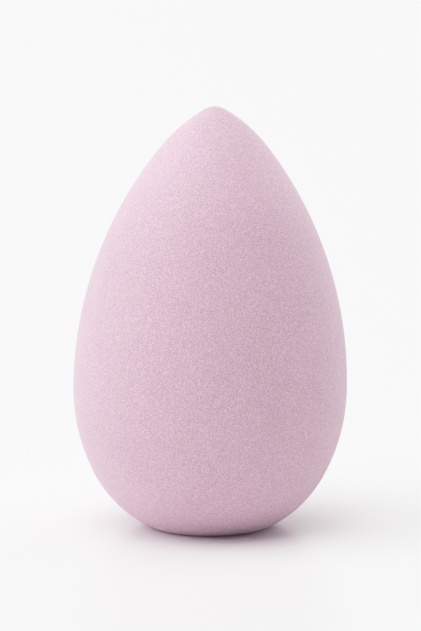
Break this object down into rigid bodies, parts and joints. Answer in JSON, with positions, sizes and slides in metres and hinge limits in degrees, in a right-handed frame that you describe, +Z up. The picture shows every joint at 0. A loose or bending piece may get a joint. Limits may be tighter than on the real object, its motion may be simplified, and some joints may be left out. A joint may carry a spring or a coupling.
{
  "type": "makeup sponge",
  "caption": "Teardrop makeup sponge of soft fine-celled foam with a pointed tip, a round lower half and a small flat foot to stand on.",
  "frame": {"origin": "on the plane of the flat foot, straight under the middle of the widest ring", "axes": "+Z up from the foot to the tip; +X is the way the body leans, by 1.1 degrees; the picture looks along +Y"},
  "size_m": [0.04, 0.04, 0.0617],
  "materials": {
    "foam": "matte"
  },
  "bodies": {
    "root": {"foam_body": "foam"}
  },
  "joints": []
}
